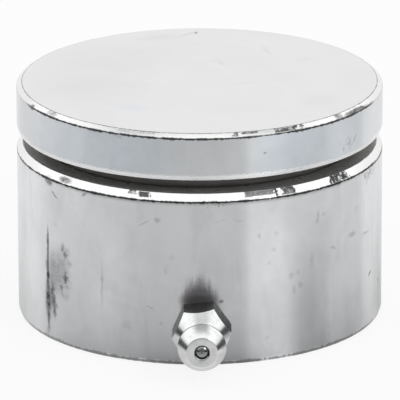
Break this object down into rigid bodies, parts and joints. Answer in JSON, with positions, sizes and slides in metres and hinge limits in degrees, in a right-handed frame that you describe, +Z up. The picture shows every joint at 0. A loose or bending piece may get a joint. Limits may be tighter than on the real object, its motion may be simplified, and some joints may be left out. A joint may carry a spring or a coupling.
{
  "type": "gate pivot hinge",
  "caption": "Weld-on gate pivot hinge: zinc-plated steel cup and cap that swivel on a thrust ball bearing, with a rubber seal ring and a grease nipple in the side.",
  "frame": {"origin": "centre of the cup's base, on the swivel axis", "axes": "+Z up the swivel axis from the cup to the cap, -Y along the grease nipple out of the cup"},
  "size_m": [0.05, 0.0601, 0.0324],
  "materials": {
    "zinc_plate": "satin",
    "nipple_plate": "polished",
    "bearing_steel": "polished",
    "cage_steel": "satin",
    "spring_steel": "satin",
    "seal_rubber": "matte"
  },
  "bodies": {
    "cup": {"lower_cup": "zinc_plate", "housing_washer": "bearing_steel", "seal_ring": "seal_rubber", "nipple_body": "nipple_plate", "nipple_spring": "spring_steel"},
    "cap": {"upper_cap": "zinc_plate", "shaft_washer": "bearing_steel"},
    "cage": {"ball_cage": "cage_steel"},
    "ball_01": {"ball_01": "bearing_steel"},
    "ball_02": {"ball_02": "bearing_steel"},
    "ball_03": {"ball_03": "bearing_steel"},
    "ball_04": {"ball_04": "bearing_steel"},
    "ball_05": {"ball_05": "bearing_steel"},
    "ball_06": {"ball_06": "bearing_steel"},
    "ball_07": {"ball_07": "bearing_steel"},
    "ball_08": {"ball_08": "bearing_steel"},
    "ball_09": {"ball_09": "bearing_steel"},
    "ball_10": {"ball_10": "bearing_steel"},
    "ball_11": {"ball_11": "bearing_steel"},
    "ball_12": {"ball_12": "bearing_steel"},
    "check_ball": {"nipple_ball": "bearing_steel"}
  },
  "joints": [
    {"name": "cap_swivel", "type": "hinge", "parent": "cup", "child": "cap", "pos_m": [0, 0, 0], "axis": [0, 0, 1], "continuous": true},
    {"name": "cage_orbit", "type": "hinge", "parent": "cup", "child": "cage", "pos_m": [0, 0, 0], "axis": [0, 0, 1], "continuous": true},
    {"name": "ball_01_roll", "type": "hinge", "parent": "cage", "child": "ball_01", "pos_m": [0.01375, 0, 0.014], "axis": [1, 0, 0], "continuous": true},
    {"name": "ball_02_roll", "type": "hinge", "parent": "cage", "child": "ball_02", "pos_m": [0.01191, 0.00688, 0.014], "axis": [0.866, 0.5, 0], "continuous": true},
    {"name": "ball_03_roll", "type": "hinge", "parent": "cage", "child": "ball_03", "pos_m": [0.00688, 0.01191, 0.014], "axis": [0.5, 0.866, 0], "continuous": true},
    {"name": "ball_04_roll", "type": "hinge", "parent": "cage", "child": "ball_04", "pos_m": [0, 0.01375, 0.014], "axis": [0, 1, 0], "continuous": true},
    {"name": "ball_05_roll", "type": "hinge", "parent": "cage", "child": "ball_05", "pos_m": [-0.00688, 0.01191, 0.014], "axis": [-0.5, 0.866, 0], "continuous": true},
    {"name": "ball_06_roll", "type": "hinge", "parent": "cage", "child": "ball_06", "pos_m": [-0.01191, 0.00688, 0.014], "axis": [-0.866, 0.5, 0], "continuous": true},
    {"name": "ball_07_roll", "type": "hinge", "parent": "cage", "child": "ball_07", "pos_m": [-0.01375, 0, 0.014], "axis": [-1, 0, 0], "continuous": true},
    {"name": "ball_08_roll", "type": "hinge", "parent": "cage", "child": "ball_08", "pos_m": [-0.01191, -0.00688, 0.014], "axis": [-0.866, -0.5, 0], "continuous": true},
    {"name": "ball_09_roll", "type": "hinge", "parent": "cage", "child": "ball_09", "pos_m": [-0.00688, -0.01191, 0.014], "axis": [-0.5, -0.866, 0], "continuous": true},
    {"name": "ball_10_roll", "type": "hinge", "parent": "cage", "child": "ball_10", "pos_m": [0, -0.01375, 0.014], "axis": [0, -1, 0], "continuous": true},
    {"name": "ball_11_roll", "type": "hinge", "parent": "cage", "child": "ball_11", "pos_m": [0.00688, -0.01191, 0.014], "axis": [0.5, -0.866, 0], "continuous": true},
    {"name": "ball_12_roll", "type": "hinge", "parent": "cage", "child": "ball_12", "pos_m": [0.01191, -0.00688, 0.014], "axis": [0.866, -0.5, 0], "continuous": true},
    {"name": "check_ball_lift", "type": "slide", "parent": "cup", "child": "check_ball", "axis": [0, 1, 0], "range_m": [0, 0.001], "stiffness_N_per_m": 300, "springref_m": -0.002, "deforming": ["nipple_spring"]}
  ],
  "couplings": [
    {"joint": "cage_orbit", "follows": "cap_swivel", "ratio": 0.5},
    {"joint": "ball_01_roll", "follows": "cap_swivel", "ratio": -2.5},
    {"joint": "ball_02_roll", "follows": "cap_swivel", "ratio": -2.5},
    {"joint": "ball_03_roll", "follows": "cap_swivel", "ratio": -2.5},
    {"joint": "ball_04_roll", "follows": "cap_swivel", "ratio": -2.5},
    {"joint": "ball_05_roll", "follows": "cap_swivel", "ratio": -2.5},
    {"joint": "ball_06_roll", "follows": "cap_swivel", "ratio": -2.5},
    {"joint": "ball_07_roll", "follows": "cap_swivel", "ratio": -2.5},
    {"joint": "ball_08_roll", "follows": "cap_swivel", "ratio": -2.5},
    {"joint": "ball_09_roll", "follows": "cap_swivel", "ratio": -2.5},
    {"joint": "ball_10_roll", "follows": "cap_swivel", "ratio": -2.5},
    {"joint": "ball_11_roll", "follows": "cap_swivel", "ratio": -2.5},
    {"joint": "ball_12_roll", "follows": "cap_swivel", "ratio": -2.5}
  ]
}
